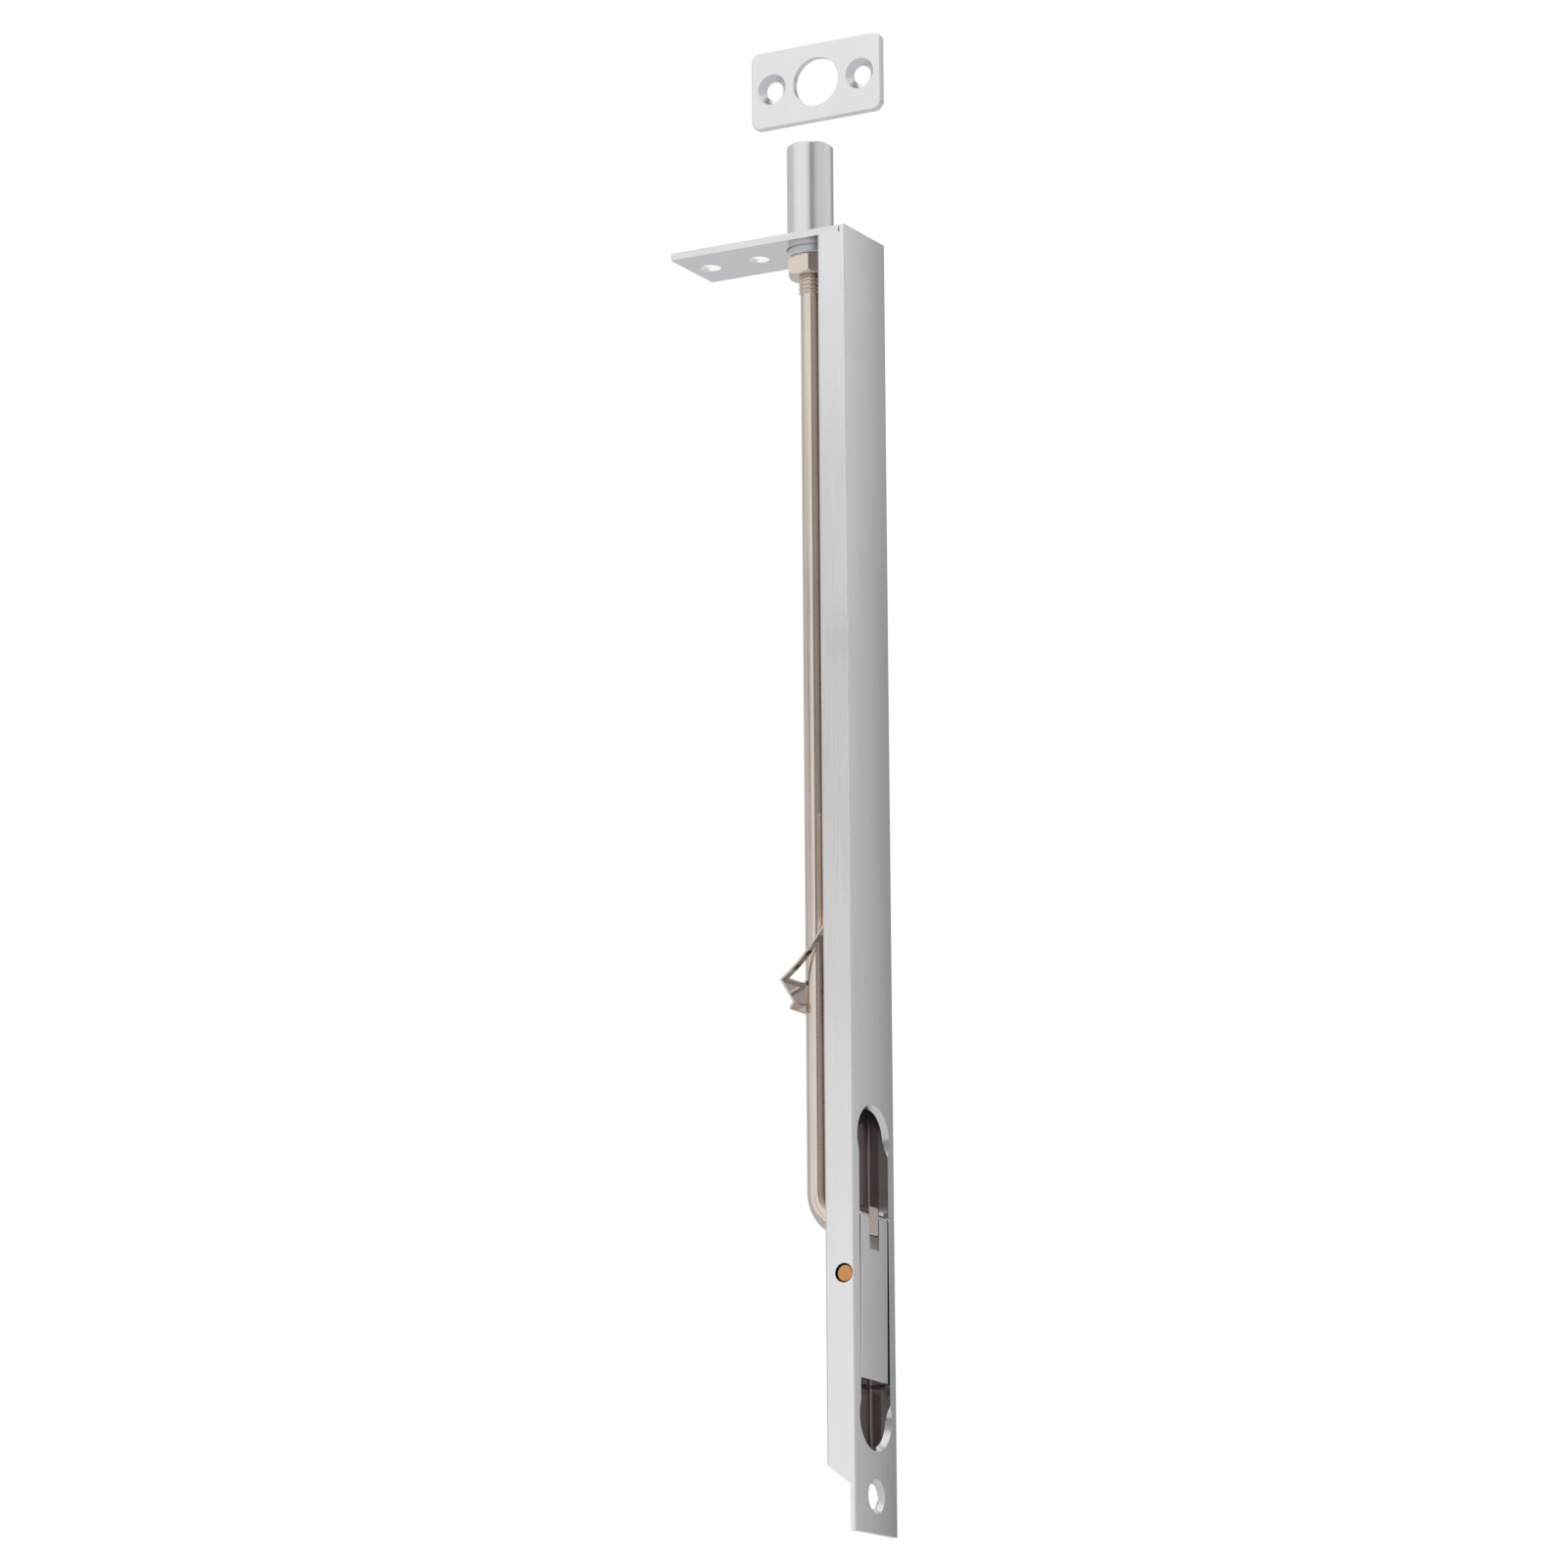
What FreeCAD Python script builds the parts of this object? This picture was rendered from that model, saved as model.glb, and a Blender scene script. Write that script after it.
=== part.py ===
"""Lever-action flush bolt for the top edge of a double door, with its strike plate.

A sheet-steel channel is let into the edge of the door. Its web is the face plate, and two strips
close its back, above and below the window that the lever swings through. A round bolt slides
through a flat bracket at the top, and a long rod behind the channel joins it to the flip lever.
Turning the lever half a turn about its pin draws the bolt down by twice the lever's arm.

Frame: origin at the centre of the face plate's screw hole, on the back of the plate, which is
the surface that seats on the door. +X runs across the face plate, +Y goes into the door, +Z runs
up along the bolt. Millimetres. The pieces are drawn with y = 0 on the plate's front surface, and
write() moves them all by the thickness of the sheet.
"""
import FreeCAD, Part

import math
import os

V = FreeCAD.Vector
X_AXIS = V(1, 0, 0)
Y_AXIS = V(0, 1, 0)
Z_AXIS = V(0, 0, 1)

# ---- driving dimensions -------------------------------------------------------------------
plate_length = 305.0          # face plate, end to end
plate_width = 20.0            # face plate and channel, outside
channel_depth = 7.4           # front surface to the free edges of the side walls
sheet = 1.3                   # thickness of the channel's sheet
channel_edge_radius = 0.3     # outer radius of the two long folds
channel_inner_radius = 0.3    # inner radius of those folds
channel_rear_radius = 0.8     # rounding of the side walls' free edges
screw_from_end = 8.4          # face plate's screw hole above its lower end

wall_start_front = 10.5       # side walls begin this far above the plate's lower end, at the front
wall_start_rear = 15.0        # and this far above it at their free edges

back_strip_thickness = 1.3    # strips that close the channel's back
back_strip_bead = 0.8         # radius of the weld bead along the strips' inner edges
back_window_reach = 17.5      # the window between the strips, above and below the lever's pin

face_screw_hole = 5.7         # diameter
face_screw_sink = 7.8         # countersink, outer diameter

pivot_height = 49.6           # lever's pin above the face plate's screw hole
pivot_depth = 2.5             # lever's pin behind the front surface
throw = 24.0                  # travel of the bolt
lever_arm = throw / 2         # from the lever's pin to the link pin

slot_width = 13.9             # straight part of the opening in the face
slot_end_radius = 7.7         # rounded finger recesses, at the front surface
slot_end_reach = 31.8         # centre of each finger recess from the lever's pin
slot_bevel = 0.9              # the bevel around each finger recess

lever_width = 13.0
lever_thickness = 5.0
lever_nose = 15.3             # from the lever's pin to the end of the fork
lever_tail = 23.5             # from the lever's pin to the finger end
lever_end_radius = 2.4        # rounding of the fork's end
fork_gap = 4.7                # gap between the two prongs
fork_depth = 9.0              # length of that gap
lever_edge = 0.35             # small rounding on the lever's long edges
lever_skew = 0.8              # degrees that the lever stands askew in its slot
pin_clearance = 0.1           # on the diameter, of both pins in what turns on them

pivot_pin_diameter = 4.2
pivot_hole_diameter = 4.4
pivot_pin_recess = 0.5        # pin's ends lie this far inside the channel's sides
pivot_pin_chamfer = 0.3
link_pin_diameter = 2.5
link_pin_recess = 0.35        # link pin's ends lie this far inside the lever's sides

bolt_diameter = 11.0
bolt_axis_depth = 14.4        # bolt's axis behind the front surface
bolt_chamfer = 0.5
bolt_below_bracket = 1.8      # bolt's lower end under the bracket
bolt_socket_depth = 10.0      # threaded socket for the rod

rod_diameter = 4.9
rod_thread_diameter = 5.7
rod_thread_below_nut = 4.2
thread_pitch = 1.0
thread_depth = 0.35
rod_bend_radius = 8.5         # centre line of the bend
rod_eye_width = 4.4           # flattened end of the rod, across the fork
rod_eye_height = 6.8
rod_eye_front = 0.1           # front of the flattened end behind the front surface
rod_eye_rise = 0.95           # centre of the flattened end above the link pin
rod_eye_edge = 0.7            # rounding of the flattened end
rod_eye_overlap = 1.0         # of the flattened end on the round rod

nut_across_flats = 10.0
nut_height = 5.0
nut_face_inset = 0.15         # the nut's end faces are this much smaller in radius than its flats
nut_chamfer_angle = 35.0      # of the cones that trim the nut's corners
nut_turn = 22.0               # a corner's direction round the bolt's axis, from +X

bracket_thickness = 1.65
bracket_seam = 0.35           # joint between the bracket and the back of the face plate
bracket_end = 46.8            # bracket's far end behind the front surface
bracket_corner = 0.6
bracket_bolt_hole = 11.4
bracket_screw_hole = 4.9
bracket_screw_sink = 8.1
bracket_screw_depths = (28.3, 41.5)

spring_width = 11.5
spring_thickness = 0.5
spring_window = 7.5           # opening that the rod passes through
spring_foot_length = 22.0     # flat foot welded to the upper back strip
spring_leg_top = 137.1        # where the leg leaves the strip
spring_first_bend = (11.6, 34.6)      # radius, and the leg's slope from upright where it ends
spring_second_bend = (46.0, 54.0)     # the same for the long curve that follows
spring_window_start = 8.8     # window's upper end, behind the front surface
spring_crossbar = 0.6         # strip left between the window and the bend
spring_return_drop = 5.5      # height of the return leg
spring_lip = (1.0, -1.4)      # run of the lip at the return leg's end, back and up
spring_clearance = 0.12       # return leg to the back of the rod

strike_length = 34.8
strike_height = 19.2
strike_thickness = 1.7
strike_corner = 2.2
strike_edge = 0.3             # small rounding around its front
strike_bolt_hole = 12.0
strike_screw_pitch = 23.6
strike_screw_hole = 4.5
strike_screw_sink = 7.5
strike_gap = 6.3              # strike plate's lower edge above the thrown bolt
strike_depth = 12.3           # strike plate's centre behind the front surface

# ---- worked-out positions -----------------------------------------------------------------
plate_bottom = -screw_from_end
plate_top = plate_bottom + plate_length
half_width = plate_width / 2
inner_half_width = half_width - sheet
bracket_underside = plate_top - bracket_thickness
bolt_top = plate_top + throw
bolt_bottom = bracket_underside - bolt_below_bracket
nut_bottom = bolt_bottom - nut_height
link_height = pivot_height + lever_arm
strike_centre_height = bolt_top + strike_gap + strike_height / 2
rod_back = bolt_axis_depth + rod_diameter / 2
wall_foot = plate_bottom + wall_start_rear
wall_slope = (wall_start_rear - wall_start_front) / (channel_depth - sheet)


def box(x_range, y_range, z_range):
    """A block between the given limits on each axis."""
    size = [limits[1] - limits[0] for limits in (x_range, y_range, z_range)]
    return Part.makeBox(*size, V(x_range[0], y_range[0], z_range[0]))


def cylinder(diameter, start, end):
    """A round bar from start to end."""
    run = end - start
    return Part.makeCylinder(diameter / 2, run.Length, start, run)


def countersink(hole, sink, surface_point, into):
    """A 90 degree cone that opens a hole at the surface; `into` points into the metal."""
    depth = (sink - hole) / 2
    return Part.makeCone(sink / 2, hole / 2, depth, surface_point, into)


def edges_along(shape, axis, select):
    """The straight edges of a shape that run along an axis and pass a test on their midpoint."""
    found = []
    for edge in shape.Edges:
        if edge.Curve.TypeId != "Part::GeomLine":
            continue
        run = (edge.Vertexes[-1].Point - edge.Vertexes[0].Point).normalize()
        if abs(abs(run.dot(axis)) - 1) < 1e-6 and select(edge.CenterOfMass):
            found.append(edge)
    return found


def round_edges(shape):
    """The circular edges of a shape."""
    return [edge for edge in shape.Edges if edge.Curve.TypeId == "Part::GeomCircle"]


def write(node, shape):
    """Save one piece as a STEP file."""
    if not shape.isValid():
        raise ValueError(node + " is not a valid solid")
    shape.translate(Y_AXIS * -sheet)
    shape.exportStep("parts/" + node + ".step")
    print(node, "solids", len(shape.Solids), "volume", round(shape.Volume, 1))


# ---- channel ------------------------------------------------------------------------------
def lever_opening():
    """The opening in the face plate: a straight slot with a bevelled finger recess at each end."""
    y_range = (-1, sheet + 1)
    reach = slot_end_reach
    opening = box((-slot_width / 2, slot_width / 2), y_range,
                  (pivot_height - reach, pivot_height + reach))
    back_radius = slot_end_radius - slot_bevel
    for side in (-1, 1):
        centre = V(0, 0, pivot_height + side * reach)
        opening = opening.fuse(cylinder(2 * back_radius, centre - Y_AXIS, centre + Y_AXIS * (sheet + 1)))
        bevel = Part.makeCone(slot_end_radius, back_radius, sheet, centre, Y_AXIS)
        opening = opening.fuse(bevel)
    return opening


def channel():
    """U-shaped sheet channel whose web is the face plate, with a screw tongue at its lower end."""
    outer = box((-half_width, half_width), (0, channel_depth), (plate_bottom, plate_top))
    outer = outer.makeFillet(channel_edge_radius, edges_along(outer, Z_AXIS, lambda p: p.y < 0.1))
    free_edges = edges_along(outer, Z_AXIS, lambda p: p.y > channel_depth - 0.1)
    outer = outer.makeFillet(channel_rear_radius, free_edges)
    inner = box((-inner_half_width, inner_half_width), (sheet, channel_depth + 5),
                (plate_bottom - 1, plate_top + 1))
    inner = inner.makeFillet(channel_inner_radius, edges_along(inner, Z_AXIS, lambda p: p.y < sheet + 0.1))
    shape = outer.cut(inner)

    # the side walls stop above the tongue, on a slant
    profile = [
        V(-half_width - 1, sheet, plate_bottom - 1),
        V(-half_width - 1, channel_depth + 1, plate_bottom - 1),
        V(-half_width - 1, channel_depth + 1, wall_foot + wall_slope),
        V(-half_width - 1, sheet, plate_bottom + wall_start_front),
    ]
    slant = Part.Face(Part.makePolygon(profile + profile[:1])).extrude(X_AXIS * (plate_width + 2))
    shape = shape.cut(slant)

    # the bracket takes the place of the side walls' upper ends
    shape = shape.cut(box((-half_width - 1, half_width + 1), (sheet, channel_depth + 1),
                          (bracket_underside, plate_top + 1)))

    shape = shape.cut(lever_opening())
    hole = cylinder(face_screw_hole, -Y_AXIS, Y_AXIS * (sheet + 1))
    shape = shape.cut(hole).cut(countersink(face_screw_hole, face_screw_sink, V(0, 0, 0), Y_AXIS))
    pivot = V(0, pivot_depth, pivot_height)
    return shape.cut(cylinder(pivot_hole_diameter, pivot - X_AXIS * 20, pivot + X_AXIS * 20))


def back_strip(bottom, top):
    """Strip that closes the channel's back, with a rounded weld bead along both inner edges."""
    front = channel_depth - back_strip_thickness
    inside = (-inner_half_width, inner_half_width)
    shape = box(inside, (front - back_strip_bead, channel_depth), (bottom, top))
    hollow = box(inside, (front - 2 * back_strip_bead, front), (bottom - 1, top + 1))
    hollow = hollow.makeFillet(back_strip_bead, edges_along(hollow, Z_AXIS, lambda p: p.y > front - 0.1))
    return shape.cut(hollow)


def bracket():
    """Flat plate at the top, which guides the bolt and takes the two screws in the door's top edge."""
    shape = box((-half_width, half_width), (sheet + bracket_seam, bracket_end),
                (bracket_underside, plate_top))
    shape = shape.makeFillet(bracket_corner, edges_along(shape, Z_AXIS, lambda p: p.y > bracket_end - 0.1))
    guide = V(0, bolt_axis_depth, bracket_underside - 1)
    shape = shape.cut(cylinder(bracket_bolt_hole, guide, guide + Z_AXIS * (bracket_thickness + 2)))
    for depth in bracket_screw_depths:
        top = V(0, depth, plate_top)
        shape = shape.cut(cylinder(bracket_screw_hole, top + Z_AXIS, top - Z_AXIS * (bracket_thickness + 1)))
        shape = shape.cut(countersink(bracket_screw_hole, bracket_screw_sink, top, -Z_AXIS))
    return shape


# ---- lever --------------------------------------------------------------------------------
def lever():
    """Flat cast lever: forked end round the rod, square finger end, cross holes for both pins."""
    front = pivot_depth - lever_thickness / 2
    back = pivot_depth + lever_thickness / 2
    shape = box((-lever_width / 2, lever_width / 2), (front, back),
                (pivot_height - lever_tail, pivot_height + lever_nose))
    top = pivot_height + lever_nose
    shape = shape.makeFillet(lever_end_radius, edges_along(shape, X_AXIS, lambda p: p.z > top - 0.1))
    shape = shape.makeFillet(lever_edge, edges_along(shape, Z_AXIS, lambda p: True))
    shape.rotate(V(0, pivot_depth, pivot_height), Y_AXIS, lever_skew)
    gap = box((-fork_gap / 2, fork_gap / 2), (front - 1, back + 1), (top - fork_depth, top + 1))
    shape = shape.cut(gap)
    pivot_bore = (pivot_height, pivot_pin_diameter + pin_clearance)
    for height, diameter in (pivot_bore, (link_height, link_pin_diameter)):
        centre = V(0, pivot_depth, height)
        shape = shape.cut(cylinder(diameter, centre - X_AXIS * 20, centre + X_AXIS * 20))
    return shape


def pivot_pin():
    """Brass pin through the channel's sides, on which the lever turns."""
    centre = V(0, pivot_depth, pivot_height)
    reach = X_AXIS * (half_width - pivot_pin_recess)
    pin = cylinder(pivot_pin_diameter, centre - reach, centre + reach)
    return pin.makeChamfer(pivot_pin_chamfer, round_edges(pin))


def link_pin():
    """Small pin across the fork, through the flattened end of the rod."""
    centre = V(0, pivot_depth, link_height)
    reach = X_AXIS * (lever_width / 2 - link_pin_recess)
    return cylinder(link_pin_diameter, centre - reach, centre + reach)


# ---- bolt and rod -------------------------------------------------------------------------
def bolt():
    """Round bolt with a small chamfer at the top and a socket for the rod's thread below."""
    foot = V(0, bolt_axis_depth, bolt_bottom)
    shape = cylinder(bolt_diameter, foot, V(0, bolt_axis_depth, bolt_top))
    shape = shape.makeChamfer(bolt_chamfer, round_edges(shape))
    socket = cylinder(rod_thread_diameter, foot - Z_AXIS, foot + Z_AXIS * bolt_socket_depth)
    return shape.cut(socket)


def lock_nut():
    """Hexagon nut that locks the rod in the bolt, with its corners chamfered off at both ends."""
    corner = nut_across_flats / math.sqrt(3)
    foot = V(0, bolt_axis_depth, nut_bottom)
    directions = [math.radians(nut_turn + 60 * k) for k in range(6)]
    corners = [foot + V(corner * math.cos(turn), corner * math.sin(turn), 0) for turn in directions]
    prism = Part.Face(Part.makePolygon(corners + corners[:1])).extrude(Z_AXIS * nut_height)
    # a cone at each end trims the corners, down to a little inside the flats
    face_radius = nut_across_flats / 2 - nut_face_inset
    reach = corner + 0.2
    cone_height = (reach - face_radius) * math.tan(math.radians(nut_chamfer_angle))
    lower = Part.makeCone(face_radius, reach, cone_height, foot, Z_AXIS)
    middle = Part.makeCylinder(reach, nut_height - 2 * cone_height, foot + Z_AXIS * cone_height)
    upper = Part.makeCone(reach, face_radius, cone_height, foot + Z_AXIS * (nut_height - cone_height), Z_AXIS)
    shape = prism.common(lower.fuse(middle).fuse(upper))
    return shape.cut(cylinder(rod_thread_diameter, foot - Z_AXIS, foot + Z_AXIS * (nut_height + 1)))


def rod():
    """Long rod: threaded at the top, bent forward at the bottom, flattened where the link pin passes."""
    bend_centre_height = link_height + rod_bend_radius
    bend_start_depth = bolt_axis_depth - rod_bend_radius
    thread_start = nut_bottom - rod_thread_below_nut
    shank_top = V(0, bolt_axis_depth, thread_start)
    shank_foot = V(0, bolt_axis_depth, bend_centre_height)
    middle_angle = math.radians(45)
    bend_middle = V(0, bend_start_depth + rod_bend_radius * math.sin(middle_angle),
                    bend_centre_height - rod_bend_radius * math.cos(middle_angle))
    bend_end = V(0, bend_start_depth, link_height)
    eye_back = V(0, bend_start_depth - rod_eye_overlap / 2, link_height)
    path = Part.Wire([
        Part.LineSegment(shank_top, shank_foot).toShape(),
        Part.Arc(shank_foot, bend_middle, bend_end).toShape(),
        Part.LineSegment(bend_end, eye_back).toShape(),
    ])
    section = Part.Wire([Part.Circle(shank_top, Z_AXIS, rod_diameter / 2).toShape()])
    shank = path.makePipeShell([section], True, False)

    # the flattened end is a rounded block, a little taller and narrower than the round rod
    half_eye = rod_eye_width / 2
    eye_centre = link_height + rod_eye_rise
    eye = box((-half_eye, half_eye), (rod_eye_front, bend_start_depth + rod_eye_overlap / 2),
              (eye_centre - rod_eye_height / 2, eye_centre + rod_eye_height / 2))
    eye = eye.makeFillet(rod_eye_edge, edges_along(eye, X_AXIS, lambda p: True))
    thread_top = V(0, bolt_axis_depth, bolt_bottom + bolt_socket_depth - 1)
    shape = shank.fuse(eye).fuse(thread_bar(shank_top, thread_top))
    centre = V(0, pivot_depth, link_height)
    hole = cylinder(link_pin_diameter + pin_clearance, centre - X_AXIS * 10, centre + X_AXIS * 10)
    return shape.cut(hole).removeSplitter()


def thread_bar(start, end):
    """The rod's threaded end, with the ridges modelled as rings where they show below the nut."""
    crest = rod_thread_diameter / 2
    root = crest - thread_depth
    profile = [V(0, 0, 0), V(root, 0, 0)]
    visible = rod_thread_below_nut
    for k in range(int(visible / thread_pitch)):
        base = k * thread_pitch
        profile.append(V(crest, 0, base + 0.4 * thread_pitch))
        profile.append(V(crest, 0, base + 0.6 * thread_pitch))
        profile.append(V(root, 0, base + thread_pitch))
    length = (end - start).Length
    profile.append(V(root, 0, visible))
    profile.append(V(crest, 0, visible))
    profile.append(V(crest, 0, length - thread_depth))
    profile.append(V(root, 0, length))
    profile.append(V(0, 0, length))
    face = Part.Face(Part.makePolygon(profile + profile[:1]))
    bar = face.revolve(V(0, 0, 0), Z_AXIS, 360)
    bar.translate(start)
    return bar


# ---- friction spring ----------------------------------------------------------------------
def spring_strip(start, end):
    """One flat stretch of the spring's strip, rounded at both ends so that stretches join as bends."""
    run = end - start
    across = X_AXIS.cross(run.normalize()) * (spring_thickness / 2)
    corners = [start + across, end + across, end - across, start - across]
    left = X_AXIS * (-spring_width / 2)
    outline = Part.makePolygon([corner + left for corner in corners + corners[:1]])
    strip = Part.Face(outline).extrude(X_AXIS * spring_width)
    for point in (start, end):
        strip = strip.fuse(cylinder(spring_thickness, point + left, point - left))
    return strip


def slope(angle):
    """Unit vectors along and square to the spring's leg where it slopes `angle` degrees from upright."""
    turn = math.radians(angle)
    return V(0, math.sin(turn), -math.cos(turn)), V(0, math.cos(turn), math.sin(turn))


def spring_bend(start, radius, angles):
    """A bend of the strip from start, between two slopes. Returns the bend and the point where it ends."""
    square = slope(angles[0])[1]
    centre = start + square * radius
    half = square * (spring_thickness / 2)
    left = X_AXIS * (-spring_width / 2)
    corners = [start + left - half, start - left - half, start - left + half, start + left + half]
    section = Part.Face(Part.makePolygon(corners + corners[:1]))
    end = centre - slope(angles[1])[1] * radius
    return section.revolve(centre, X_AXIS, angles[1] - angles[0]), end


def friction_spring():
    """Leaf spring of bent strip: a foot on the back of the channel, a curved leg and a return leg.

    The rod passes through a window in the leg, and the return leg bears on it from behind.
    """
    leg_start = V(0, channel_depth + spring_thickness / 2, spring_leg_top)
    foot_start = leg_start + Z_AXIS * spring_foot_length
    first_radius, first_slope = spring_first_bend
    second_radius, second_slope = spring_second_bend
    first_bend, middle = spring_bend(leg_start, first_radius, (0, first_slope))
    second_bend, apex = spring_bend(middle, second_radius, (first_slope, second_slope))
    return_end = V(0, rod_back + spring_thickness / 2 + spring_clearance, apex.z - spring_return_drop)
    lip_end = return_end + V(0, *spring_lip)

    shape = first_bend.fuse(second_bend)
    for start, end in ((foot_start, leg_start), (apex, return_end), (return_end, lip_end)):
        shape = shape.fuse(spring_strip(start, end))
    window = box((-spring_window / 2, spring_window / 2), (spring_window_start, apex.y - spring_crossbar),
                 (apex.z + spring_thickness / 2, leg_start.z))
    return shape.cut(window).removeSplitter()


# ---- strike plate -------------------------------------------------------------------------
def strike_plate():
    """Loose plate for the door frame's head, with the bolt's hole and two countersunk screw holes."""
    front = -strike_thickness / 2
    y_range = (strike_depth - strike_length / 2, strike_depth + strike_length / 2)
    z_range = (strike_centre_height - strike_height / 2, strike_centre_height + strike_height / 2)
    shape = box((front, -front), y_range, z_range)
    shape = shape.makeFillet(strike_corner, edges_along(shape, X_AXIS, lambda p: True))
    rim = [edge for edge in shape.Edges if edge.BoundBox.XMax < front + 0.01]
    shape = shape.makeFillet(strike_edge, rim)
    centre = V(0, strike_depth, strike_centre_height)
    shape = shape.cut(cylinder(strike_bolt_hole, centre - X_AXIS * 5, centre + X_AXIS * 5))
    for side in (-1, 1):
        place = centre + Y_AXIS * (side * strike_screw_pitch / 2)
        shape = shape.cut(cylinder(strike_screw_hole, place - X_AXIS * 5, place + X_AXIS * 5))
        surface = place + X_AXIS * front
        shape = shape.cut(countersink(strike_screw_hole, strike_screw_sink, surface, X_AXIS))
    return shape


os.makedirs("parts", exist_ok=True)
write("channel", channel())
write("upper_back_strip", back_strip(pivot_height + back_window_reach, bracket_underside))
write("lower_back_strip", back_strip(wall_foot, pivot_height - back_window_reach))
write("top_bracket", bracket())
write("flip_lever", lever())
write("pivot_pin", pivot_pin())
write("link_pin", link_pin())
write("bolt", bolt())
write("lock_nut", lock_nut())
write("push_rod", rod())
write("friction_spring", friction_spring())
write("strike_plate", strike_plate())
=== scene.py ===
"""Looks of the lever flush bolt: satin chrome, bright nickel and brass, in a plain studio."""
import math

import bpy
from mathutils import Matrix, Vector

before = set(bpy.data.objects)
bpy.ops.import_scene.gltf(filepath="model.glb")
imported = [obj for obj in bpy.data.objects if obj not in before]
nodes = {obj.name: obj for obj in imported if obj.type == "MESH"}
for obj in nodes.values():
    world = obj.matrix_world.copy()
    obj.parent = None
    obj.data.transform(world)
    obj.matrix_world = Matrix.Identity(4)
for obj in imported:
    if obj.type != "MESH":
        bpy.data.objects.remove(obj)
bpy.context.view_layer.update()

# ---- camera -------------------------------------------------------------------------------
CAMERA_PLACE = Vector((-1.2531, -0.6677, -0.1585))
CAMERA_AZIMUTH = -61.198         # degrees round the vertical, from the front of the face plate
CAMERA_ELEVATION = -12.815
CAMERA_ROLL = -0.383
FOCAL_LENGTH = 4.0269375         # in widths of the picture
SENSOR_WIDTH = 36.0
CLIP_START = 0.05
CLIP_END = 50


def make_camera():
    """Camera low on the left of the face plate, looking up at it."""
    data = bpy.data.cameras.new("camera")
    data.sensor_width = SENSOR_WIDTH
    data.lens = SENSOR_WIDTH * FOCAL_LENGTH
    data.clip_start = CLIP_START
    data.clip_end = CLIP_END
    camera = bpy.data.objects.new("camera", data)
    bpy.context.scene.collection.objects.link(camera)
    azimuth = math.radians(CAMERA_AZIMUTH)
    elevation = math.radians(CAMERA_ELEVATION)
    back = Vector((math.sin(azimuth) * math.cos(elevation),
                   -math.cos(azimuth) * math.cos(elevation),
                   math.sin(elevation)))
    right = (-back).cross(Vector((0, 0, 1))).normalized()
    up = right.cross(-back)
    turn = Matrix.Rotation(math.radians(CAMERA_ROLL), 3, back)
    axes = Matrix((turn @ right, turn @ up, back)).transposed()
    camera.matrix_world = Matrix.Translation(CAMERA_PLACE) @ axes.to_4x4()
    bpy.context.scene.camera = camera


# ---- node helpers -------------------------------------------------------------------------
NOISE_RANGE = (0.3, 0.7)         # nearly all of a noise texture's values lie between these


def math_node(tree, operation, *values):
    """A Math node whose inputs are sockets or numbers; returns its output."""
    node = tree.nodes.new("ShaderNodeMath")
    node.operation = operation
    for socket, value in zip(node.inputs, values):
        if isinstance(value, (int, float)):
            socket.default_value = value
        else:
            tree.links.new(value, socket)
    return node.outputs[0]


def dot(tree, vector, direction):
    """Dot product of a vector socket with a fixed direction."""
    node = tree.nodes.new("ShaderNodeVectorMath")
    node.operation = "DOT_PRODUCT"
    tree.links.new(vector, node.inputs[0])
    node.inputs[1].default_value = direction
    return node.outputs["Value"]


def ramp(tree, factor, stops, low, high):
    """A smooth curve through (value, brightness) stops, for a factor that runs from low to high."""
    node = tree.nodes.new("ShaderNodeValToRGB")
    node.color_ramp.interpolation = "EASE"
    elements = node.color_ramp.elements
    while len(elements) < len(stops):
        elements.new(0.5)
    for element, (value, brightness) in zip(elements, stops):
        element.position = (value - low) / (high - low)
        element.color = (brightness, brightness, brightness, 1)
    span = math_node(tree, "DIVIDE", math_node(tree, "SUBTRACT", factor, low), high - low)
    tree.links.new(span, node.inputs["Fac"])
    return node.outputs["Color"]


def noise(tree, place, scale, detail):
    """Noise stretched by a scale per axis, in features per metre."""
    mapping = tree.nodes.new("ShaderNodeMapping")
    mapping.inputs["Scale"].default_value = scale
    tree.links.new(place, mapping.inputs["Vector"])
    node = tree.nodes.new("ShaderNodeTexNoise")
    node.inputs["Scale"].default_value = 1.0
    node.inputs["Detail"].default_value = detail
    tree.links.new(mapping.outputs["Vector"], node.inputs["Vector"])
    return node.outputs["Fac"]


def limits(tree, value, low, high):
    """Noise stretched to run from low to high."""
    node = tree.nodes.new("ShaderNodeMapRange")
    node.inputs["From Min"].default_value = NOISE_RANGE[0]
    node.inputs["From Max"].default_value = NOISE_RANGE[1]
    node.inputs["To Min"].default_value = low
    node.inputs["To Max"].default_value = high
    tree.links.new(value, node.inputs["Value"])
    return node.outputs["Result"]


def mix_colour(tree, factor, first, second):
    """Blend of two colours, each a socket or an RGB triple."""
    node = tree.nodes.new("ShaderNodeMix")
    node.data_type = "RGBA"
    tree.links.new(factor, node.inputs["Factor"])
    sockets = [socket for socket in node.inputs if socket.type == "RGBA"]
    for socket, colour in zip(sockets, (first, second)):
        if isinstance(colour, tuple):
            socket.default_value = (*colour, 1)
        else:
            tree.links.new(colour, socket)
    return [socket for socket in node.outputs if socket.type == "RGBA"][0]


# ---- studio -------------------------------------------------------------------------------
WHITE = (1, 1, 1, 1)
FLOOR_HEIGHT = -0.30
FLOOR_REACH = 6.0
FLOOR_COLOUR = (0.705, 0.715, 0.745)
FLOOR_ROUGHNESS = 0.9

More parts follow.
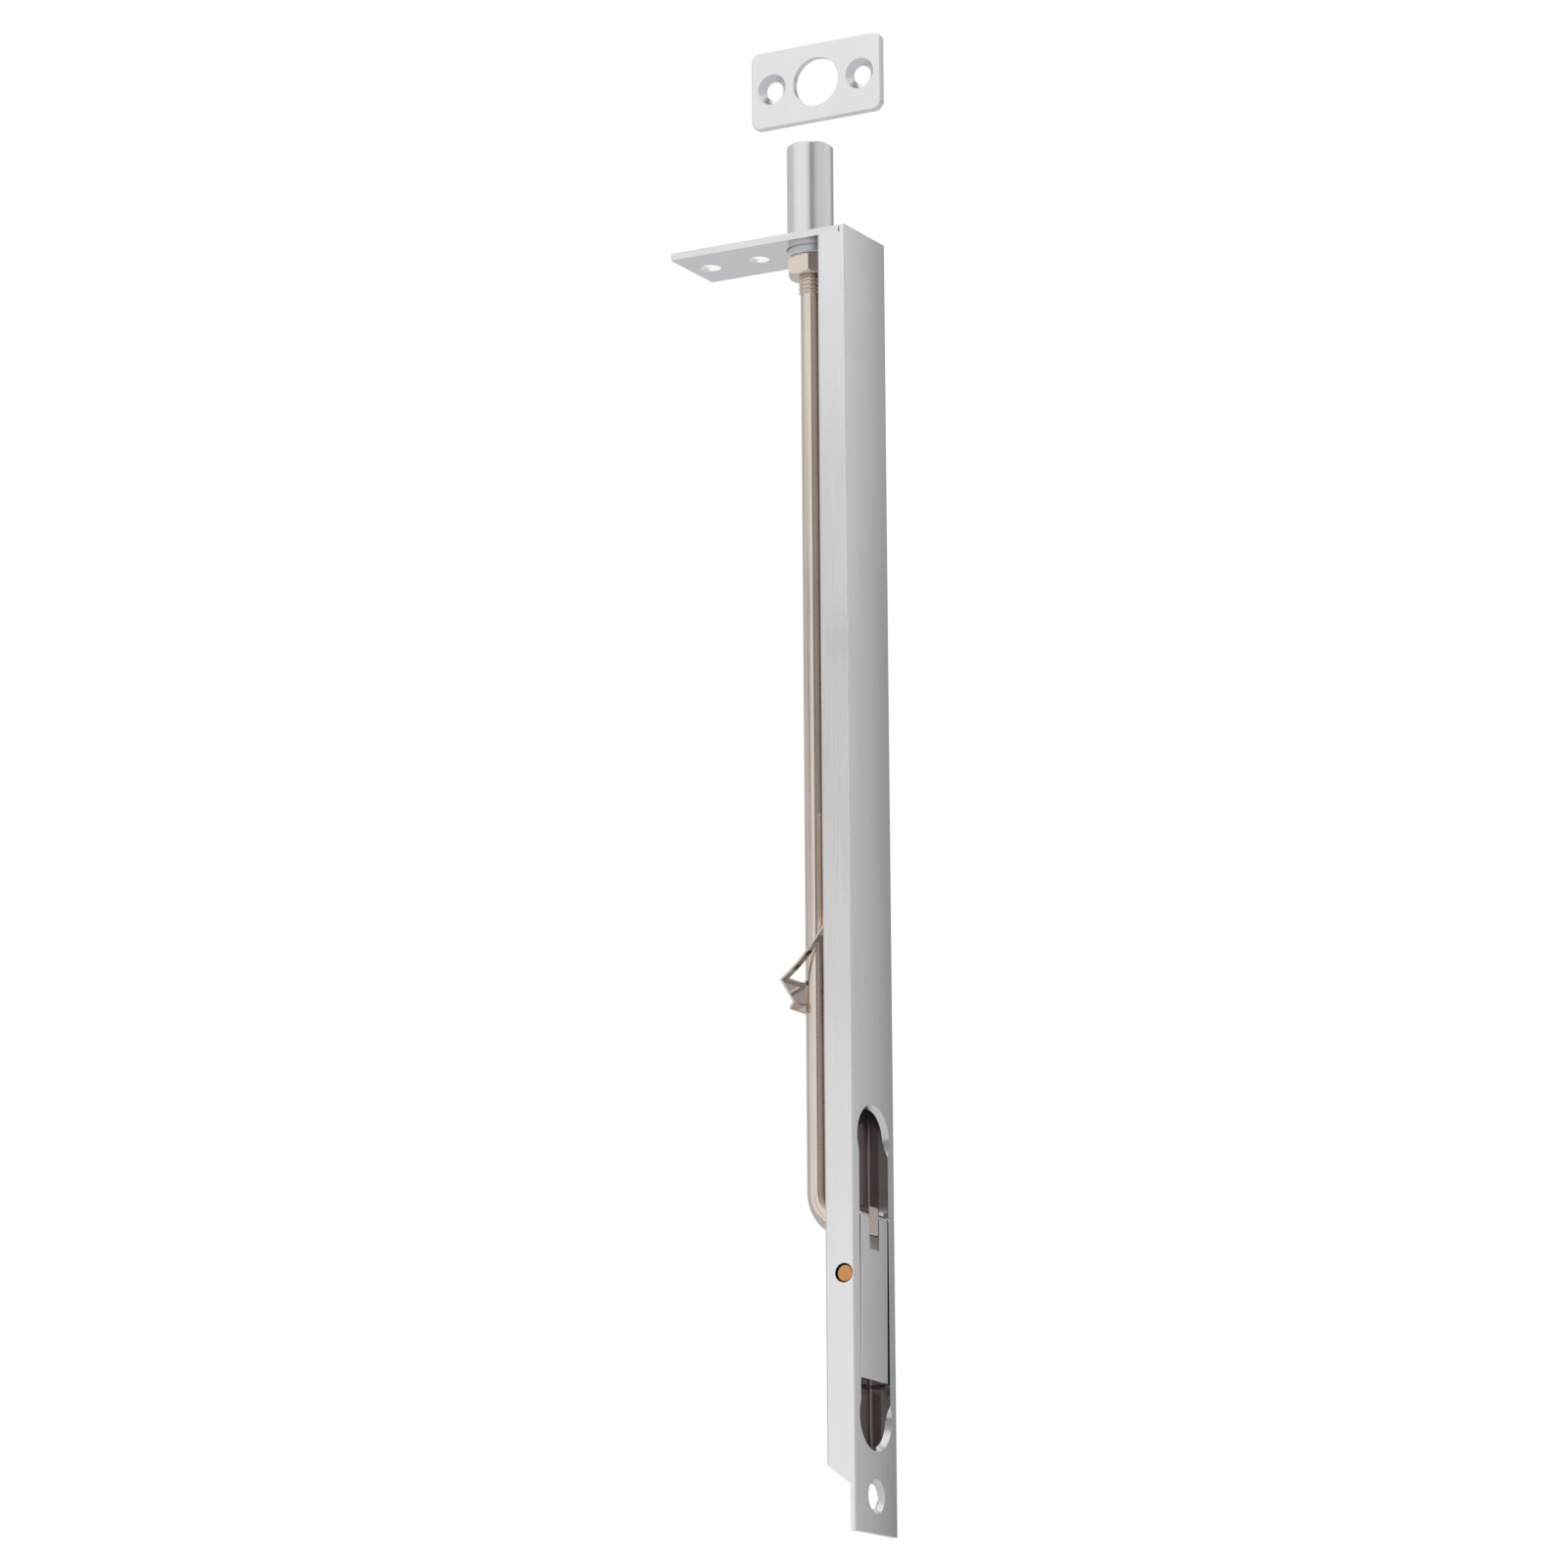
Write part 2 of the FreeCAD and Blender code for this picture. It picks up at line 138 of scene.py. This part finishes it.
# Brightness of the studio round the object. Angles are degrees round the vertical, from the
# direction of the camera's place, negative to the left of someone who looks at the object.
STUDIO_WALLS = [
    (-180, 0.60), (-150, 0.60), (-95, 0.62), (-80, 0.94), (-13, 0.94), (-5, 0.58), (2, 0.15),
    (12, 0.15), (21, 0.50), (33, 0.68), (98, 0.70), (112, 0.64), (122, 0.50), (131, 0.31),
    (147, 0.24), (163, 0.45), (180, 0.60),
]
# Factors on that brightness by degrees above the horizon, in three directions round the object:
# the large softbox on the left has a dim band across it, the wall on the right is dim near the
# floor, and the wall behind the object is bright further up. Each SPREAD says how much of its
# RISE applies, by the angle round the vertical.
SOFTBOX_RISE = [
    (-90, 1.05), (8, 1.05), (10, 0.97), (13.6, 0.42), (16.6, 0.97), (19, 1.14), (90, 1.1),
]
SOFTBOX_SPREAD = [(-180, 0.0), (-90, 0.0), (-76, 1.0), (-46, 1.0), (-34, 0.0), (180, 0.0)]
WALL_RISE = [(-90, 0.84), (5, 0.84), (9, 0.98), (13, 1.0), (18, 1.22), (24, 1.25), (90, 1.0)]
WALL_SPREAD = [(-180, 0.0), (84, 0.0), (100, 1.0), (150, 1.0), (165, 0.0), (180, 0.0)]
BACK_RISE = [(-90, 1.0), (22, 1.0), (29, 1.6), (90, 1.6)]
BACK_SPREAD = [(-180, 1.0), (-150, 1.0), (-130, 0.0), (140, 0.0), (158, 1.0), (180, 1.0)]
OVERHEAD = [(-90, 0.0), (30, 0.0), (46, 0.22), (90, 0.22)]    # extra brightness of the panel above


def make_floor():
    """Plain pale floor, below the camera's place."""
    mesh = bpy.data.meshes.new("floor")
    signs = ((-1, -1), (1, -1), (1, 1), (-1, 1))
    corners = [(x * FLOOR_REACH, y * FLOOR_REACH, FLOOR_HEIGHT) for x, y in signs]
    mesh.from_pydata(corners, [], [(0, 1, 2, 3)])
    floor = bpy.data.objects.new("floor", mesh)
    bpy.context.scene.collection.objects.link(floor)
    material = bpy.data.materials.new("floor")
    material.use_nodes = True
    shader = material.node_tree.nodes["Principled BSDF"]
    shader.inputs["Base Color"].default_value = (*FLOOR_COLOUR, 1)
    shader.inputs["Roughness"].default_value = FLOOR_ROUGHNESS
    mesh.materials.append(material)


def studio_strength(tree):
    """Brightness of the studio in each direction, as a socket."""
    direction = tree.nodes.new("ShaderNodeTexCoord").outputs["Generated"]
    azimuth = math.radians(CAMERA_AZIMUTH)
    toward = dot(tree, direction, (math.sin(azimuth), -math.cos(azimuth), 0))
    right = dot(tree, direction, (math.cos(azimuth), math.sin(azimuth), 0))
    angle = math_node(tree, "DEGREES", math_node(tree, "ARCTAN2", right, toward))
    height = math_node(tree, "DEGREES", math_node(tree, "ARCSINE", dot(tree, direction, (0, 0, 1))))
    strength = ramp(tree, angle, STUDIO_WALLS, -180, 180)
    rises = ((SOFTBOX_RISE, SOFTBOX_SPREAD), (WALL_RISE, WALL_SPREAD), (BACK_RISE, BACK_SPREAD))
    for rise, spread in rises:
        change = math_node(tree, "SUBTRACT", ramp(tree, height, rise, -90, 90), 1.0)
        share = math_node(tree, "MULTIPLY", change, ramp(tree, angle, spread, -180, 180))
        strength = math_node(tree, "MULTIPLY", strength, math_node(tree, "ADD", share, 1.0))
    return math_node(tree, "ADD", strength, ramp(tree, height, OVERHEAD, -90, 90))


def make_world():
    """White surroundings for the eye, and a studio of soft panels for the light and reflections."""
    world = bpy.data.worlds.new("studio")
    bpy.context.scene.world = world
    world.use_nodes = True
    tree = world.node_tree
    light = tree.nodes["Background"]
    light.inputs["Color"].default_value = WHITE
    tree.links.new(studio_strength(tree), light.inputs["Strength"])
    backdrop = tree.nodes.new("ShaderNodeBackground")
    backdrop.inputs["Color"].default_value = WHITE
    backdrop.inputs["Strength"].default_value = 1.0
    choice = tree.nodes.new("ShaderNodeMixShader")
    tree.links.new(tree.nodes.new("ShaderNodeLightPath").outputs["Is Camera Ray"], choice.inputs["Fac"])
    tree.links.new(light.outputs[0], choice.inputs[1])
    tree.links.new(backdrop.outputs[0], choice.inputs[2])
    tree.links.new(choice.outputs[0], tree.nodes["World Output"].inputs["Surface"])
    bpy.context.scene.view_settings.view_transform = "Standard"


# ---- materials ----------------------------------------------------------------------------
# Each metal's colours run from its darkest to its brightest streak
CHROME = ((0.765, 0.765, 0.775), (0.835, 0.835, 0.845))
NICKEL = ((0.68, 0.595, 0.53), (0.77, 0.69, 0.62))
BRASS = ((0.58, 0.26, 0.085), (0.72, 0.36, 0.13))
STEEL = ((0.52, 0.52, 0.53), (0.64, 0.64, 0.65))
# Painted shade inside the channel, streaked by the grain
PAINTED_SHADE_INSIDE = ((0.30, 0.255, 0.24), (0.43, 0.375, 0.355))
# Darker colour on the back faces of the channel's strips
DARK_BACK = ((0.44, 0.40, 0.38), (0.54, 0.50, 0.48))
# Painted shade on the lever's sides and the spring's undersides
PAINTED_FACING_SHADE = (0.34, 0.30, 0.27)
# Painted shade in the hole of the lever's pin
PAINTED_BORE_SHADE = (0.10, 0.07, 0.05)

# Features per metre along X, Y and Z
UPRIGHT_GRAIN = (3200, 3200, 45)
TURNED_GRAIN = (25, 25, 5200)
BEAD_GRAIN = (5200, 5200, 5200)
GRAIN_DETAIL = 4.0
CLOUDS = (70, 70, 35)            # broad unevenness of a plated surface
CLOUD_DETAIL = 2.0
CROWN = 3.0                      # half the curvature of the slightly crowned faces, per metre

# Painted shade on the sides of the lever, inside its fork, and under the spring
SIDES = (1, 0, 0)
DOWN = (0, 0, -1)
SHADE_FACING_FROM = 0.6          # cosine of the angle to the direction of the surfaces with painted shade
FORK_OUTSIDE = 0.005             # the fork's inner sides lie nearer the middle than this, in metres
FORK_INSIDE_SHADE_SHARE = 0.45         # how much of the painted shade those inner sides get

# The channel's zones, in metres on the object's own axes
INNER_HALF_WIDTH = 0.00875
INSIDE_FRONT = 0.002
INSIDE_BACK = 0.00605
INSIDE_DULLNESS = 0.28           # how much less metallic the painted shade inside is
INSIDE_POLISH = 0.08             # it is this much less rough
FLAT_HALF_WIDTH = 0.0097
FOLD_BACK = -0.001
FOLD_ROUGHNESS = 0.30            # the folds are this much rougher than the flats
BORE_DEPTH = 0.0012              # the lever pin's axis, in Y and in Z
BORE_HEIGHT = 0.0496
BORE_RADIUS = 0.00224
BEYOND = 1.0                     # further off than any of the object


def within(tree, axes, half_width, front, back):
    """1 where a place lies between two planes square to Y, no further than half_width off centre."""
    across = math_node(tree, "LESS_THAN", math_node(tree, "ABSOLUTE", axes["X"]), half_width)
    behind = math_node(tree, "GREATER_THAN", axes["Y"], front)
    before = math_node(tree, "LESS_THAN", axes["Y"], back)
    return math_node(tree, "MULTIPLY", across, math_node(tree, "MULTIPLY", behind, before))


def painted_shade_share(tree, normal, axes, direction):
    """How much painted shade a surface gets: all of it on surfaces that face a direction.

    For SIDES both senses count, and surfaces near the middle, inside the lever's fork, get only
    part of it.
    """
    facing = dot(tree, normal, direction)
    if direction != SIDES:
        return math_node(tree, "GREATER_THAN", facing, SHADE_FACING_FROM)
    aside = math_node(tree, "GREATER_THAN", math_node(tree, "ABSOLUTE", facing), SHADE_FACING_FROM)
    outer = math_node(tree, "GREATER_THAN", math_node(tree, "ABSOLUTE", axes["X"]), FORK_OUTSIDE)
    return math_node(tree, "MULTIPLY", aside, math_node(tree, "MAXIMUM", outer, FORK_INSIDE_SHADE_SHARE))


def pivot_bore(tree, axes):
    """1 inside the hole for the lever's pin, where shade is painted."""
    depth = math_node(tree, "POWER", math_node(tree, "SUBTRACT", axes["Y"], BORE_DEPTH), 2.0)
    height = math_node(tree, "POWER", math_node(tree, "SUBTRACT", axes["Z"], BORE_HEIGHT), 2.0)
    return math_node(tree, "LESS_THAN", math_node(tree, "ADD", depth, height), BORE_RADIUS ** 2)


def channel_zones(tree, shader, axes, lines, colour, rough):
    """Painted shade inside the channel and in the hole of the lever's pin, a darker back, and softer
    folds.

    Returns the colour and the roughness with these zones in them.
    """
    streaks = limits(tree, lines, 0.0, 1.0)
    # painted shade inside the channel
    inside = within(tree, axes, INNER_HALF_WIDTH, INSIDE_FRONT, INSIDE_BACK)
    colour = mix_colour(tree, inside, colour, mix_colour(tree, streaks, *PAINTED_SHADE_INSIDE))
    # a darker colour on the strips' back faces
    rear = within(tree, axes, INNER_HALF_WIDTH, INSIDE_BACK, BEYOND)
    colour = mix_colour(tree, rear, colour, mix_colour(tree, streaks, *DARK_BACK))
    # painted shade in the hole of the lever's pin
    colour = mix_colour(tree, pivot_bore(tree, axes), colour, PAINTED_BORE_SHADE)

    dullness = math_node(tree, "MULTIPLY", inside, INSIDE_DULLNESS)
    tree.links.new(math_node(tree, "SUBTRACT", 1.0, dullness), shader.inputs["Metallic"])

    rough = math_node(tree, "SUBTRACT", rough, math_node(tree, "MULTIPLY", inside, INSIDE_POLISH))
    front = math_node(tree, "LESS_THAN", axes["Y"], FOLD_BACK)
    flat = within(tree, axes, FLAT_HALF_WIDTH, -BEYOND, FOLD_BACK)
    folds = math_node(tree, "SUBTRACT", front, flat)
    rough = math_node(tree, "ADD", rough, math_node(tree, "MULTIPLY", folds, FOLD_ROUGHNESS))
    return colour, rough


def metal(name, colours, grain, roughness, relief, crown=0.0, channel=False, shade_toward=None):
    """Plated metal: grain and broad unevenness in its colour, roughness and relief.

    roughness is the range it varies over, and relief the height of its grain in metres. crown
    makes the front face slightly rounded from left to right. channel adds what the channel alone
    has: painted shade inside it and in the pin's hole, a darker back and softer folds. The last
    argument is the direction of the surfaces that get painted shade.
    """
    material = bpy.data.materials.new(name)
    material.use_nodes = True
    tree = material.node_tree
    shader = tree.nodes["Principled BSDF"]
    shader.inputs["Metallic"].default_value = 1.0
    coordinates = tree.nodes.new("ShaderNodeTexCoord").outputs
    place = coordinates["Object"]
    split = tree.nodes.new("ShaderNodeSeparateXYZ")
    tree.links.new(place, split.inputs[0])
    axes = split.outputs

    lines = noise(tree, place, grain, GRAIN_DETAIL)
    clouds = noise(tree, place, CLOUDS, CLOUD_DETAIL)
    both = math_node(tree, "MULTIPLY", math_node(tree, "ADD", lines, clouds), 0.5)
    colour = mix_colour(tree, limits(tree, both, 0.0, 1.0), *colours)
    rough = limits(tree, both, *roughness)
    # painted shade on the surfaces that face one direction
    if shade_toward:
        share = painted_shade_share(tree, coordinates["Normal"], axes, shade_toward)
        colour = mix_colour(tree, share, colour, PAINTED_FACING_SHADE)
    # painted shade inside the channel and in the hole of the lever's pin
    if channel:
        colour, rough = channel_zones(tree, shader, axes, lines, colour, rough)
    tree.links.new(colour, shader.inputs["Base Color"])
    tree.links.new(rough, shader.inputs["Roughness"])

    height = math_node(tree, "MULTIPLY", lines, relief)
    if crown:
        square = math_node(tree, "MULTIPLY", axes["X"], axes["X"])
        height = math_node(tree, "SUBTRACT", height, math_node(tree, "MULTIPLY", square, crown))
    bump = tree.nodes.new("ShaderNodeBump")
    bump.inputs["Strength"].default_value = 1.0
    bump.inputs["Distance"].default_value = 1.0
    tree.links.new(height, bump.inputs["Height"])
    tree.links.new(bump.outputs["Normal"], shader.inputs["Normal"])
    return material


def finish_nodes():
    """Give every piece its material."""
    channel = metal("satin_chrome_channel", CHROME, UPRIGHT_GRAIN, roughness=(0.14, 0.20),
                    relief=3e-6, crown=CROWN, channel=True)
    plates = metal("satin_chrome", CHROME, BEAD_GRAIN, roughness=(0.20, 0.28), relief=1.5e-6)
    # The lever gets painted shade on its sides.
    lever = metal("lever_chrome", CHROME, UPRIGHT_GRAIN, roughness=(0.15, 0.21), relief=3e-6,
                  crown=CROWN, shade_toward=SIDES)
    turned = metal("turned_chrome", CHROME, TURNED_GRAIN, roughness=(0.27, 0.36), relief=2e-6)
    nickel = metal("bright_nickel", NICKEL, UPRIGHT_GRAIN, roughness=(0.08, 0.13), relief=2e-6)
    # The spring gets painted shade on its undersides.
    spring = metal("spring_nickel", NICKEL, UPRIGHT_GRAIN, roughness=(0.08, 0.13), relief=2e-6,
                   shade_toward=DOWN)
    brass = metal("brass", BRASS, BEAD_GRAIN, roughness=(0.22, 0.32), relief=2e-6)
    steel = metal("pin_steel", STEEL, BEAD_GRAIN, roughness=(0.22, 0.30), relief=2e-6)
    finishes = {
        channel: ("channel", "upper_back_strip", "lower_back_strip"),
        plates: ("top_bracket", "strike_plate"),
        lever: ("flip_lever",),
        turned: ("bolt",),
        nickel: ("push_rod", "lock_nut"),
        spring: ("friction_spring",),
        brass: ("pivot_pin",),
        steel: ("link_pin",),
    }
    for material, names in finishes.items():
        for name in names:
            for slot in nodes[name].material_slots:
                slot.material = material


make_camera()
make_floor()
make_world()
finish_nodes()
